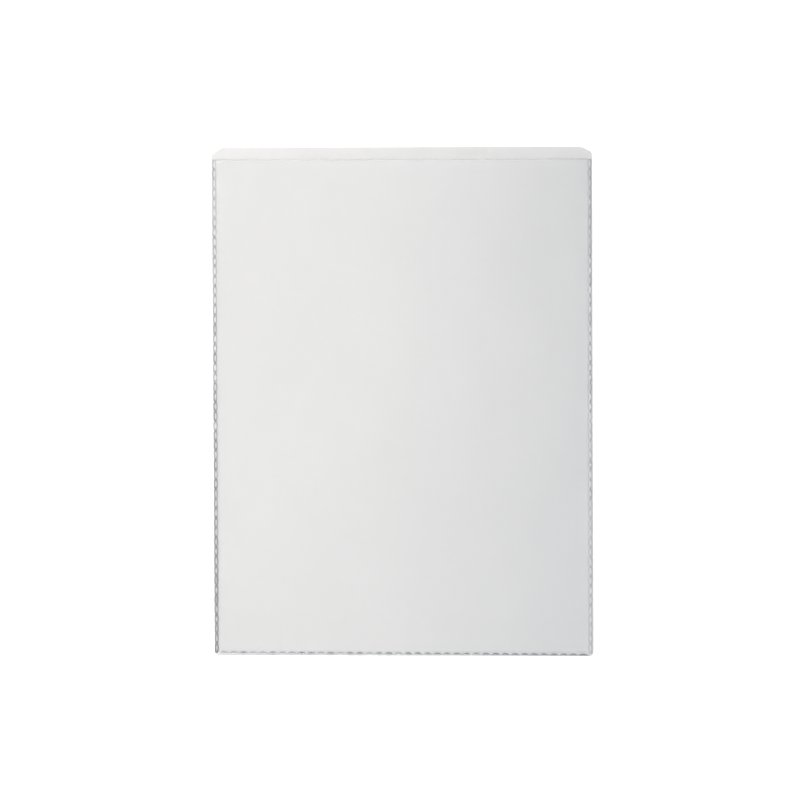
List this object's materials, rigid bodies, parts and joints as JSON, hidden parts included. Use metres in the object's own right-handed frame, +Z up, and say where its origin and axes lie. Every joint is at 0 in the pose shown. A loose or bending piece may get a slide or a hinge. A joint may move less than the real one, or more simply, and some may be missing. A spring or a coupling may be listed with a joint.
{
  "type": "sheet protector",
  "caption": "Clear open-top vinyl sheet protector: a front film chain-welded to a taller back film at the sides and bottom, with a cut-corner lip that flexes above the mouth.",
  "frame": {"origin": "middle of the back face, on the surface that the protector lies on", "axes": "+X to the right across the pocket as seen from the front, +Y up the sheet towards the mouth, +Z up and out of the front film"},
  "size_m": [0.2286, 0.3062, 0.0105],
  "materials": {
    "clear_film": "clear flexible vinyl film, smooth and slightly hazy",
    "pressed_weld": "clear vinyl pressed in a chain pattern, which scatters light at its grooves"
  },
  "bodies": {
    "pocket": {"back_sheet": "clear_film", "front_sheet": "clear_film", "left_weld": "pressed_weld", "right_weld": "pressed_weld", "bottom_weld": "pressed_weld"},
    "lip": {"lip": "clear_film"}
  },
  "joints": [
    {"name": "lip_flex", "type": "hinge", "parent": "pocket", "child": "lip", "pos_m": [0, 0.1469, 0.00013], "axis": [1, 0, 0], "range_deg": [0, 90], "stiffness_Nm_per_rad": 0.0005}
  ]
}
